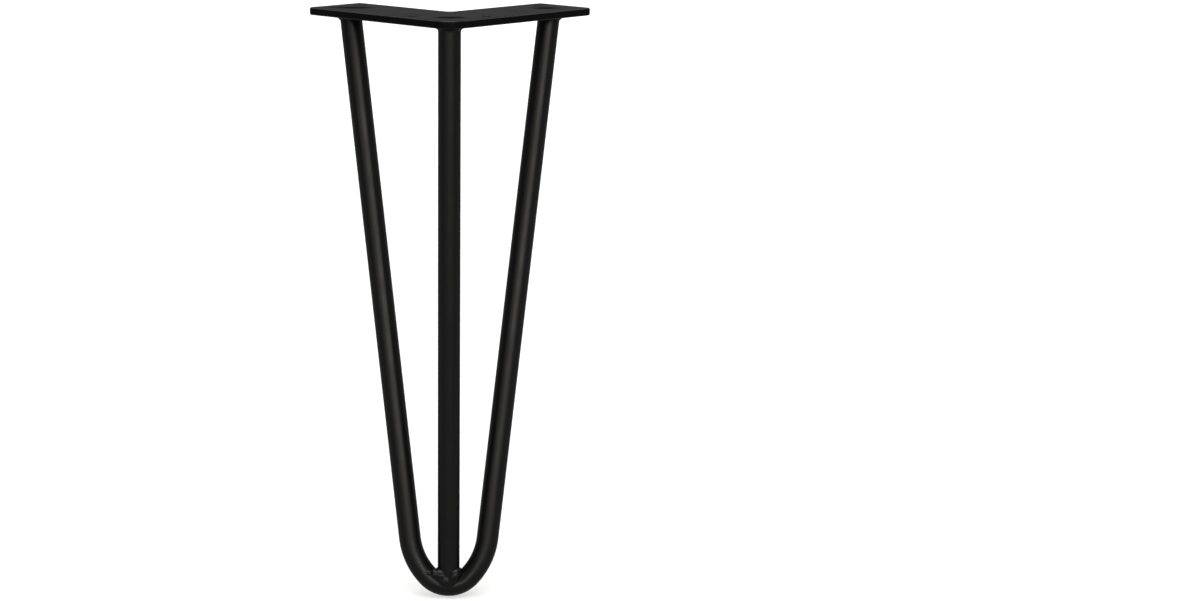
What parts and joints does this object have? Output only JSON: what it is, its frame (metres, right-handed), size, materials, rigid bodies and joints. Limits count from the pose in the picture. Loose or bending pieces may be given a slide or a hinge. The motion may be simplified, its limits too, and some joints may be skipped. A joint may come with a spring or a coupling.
{
  "type": "hairpin table leg",
  "caption": "Welded hairpin table leg: an L-shaped mounting plate with screw holes, a bar bent into a U and a straight centre bar that meet in one rounded foot.",
  "frame": {"origin": "on the top face of the mounting plate, where the centrelines of its two arms cross, above the head of the centre bar", "axes": "+Z out of the plate's top face, towards the table top; -Y towards the outer corner of the plate; the leg is the same on both sides of X = 0, apart from the weld at the foot"},
  "size_m": [0.1524, 0.0984, 0.316],
  "materials": {
    "plate_coat": "satin black powder coat on laser-cut steel plate",
    "bar_coat": "satin black powder coat on round steel bar",
    "weld_coat": "satin black powder coat over weld beads"
  },
  "bodies": {
    "root": {"mounting_plate": "plate_coat", "hairpin_rod": "bar_coat", "centre_rod": "bar_coat", "weld_left": "weld_coat", "weld_right": "weld_coat", "weld_centre": "weld_coat", "weld_foot": "weld_coat"}
  },
  "joints": []
}
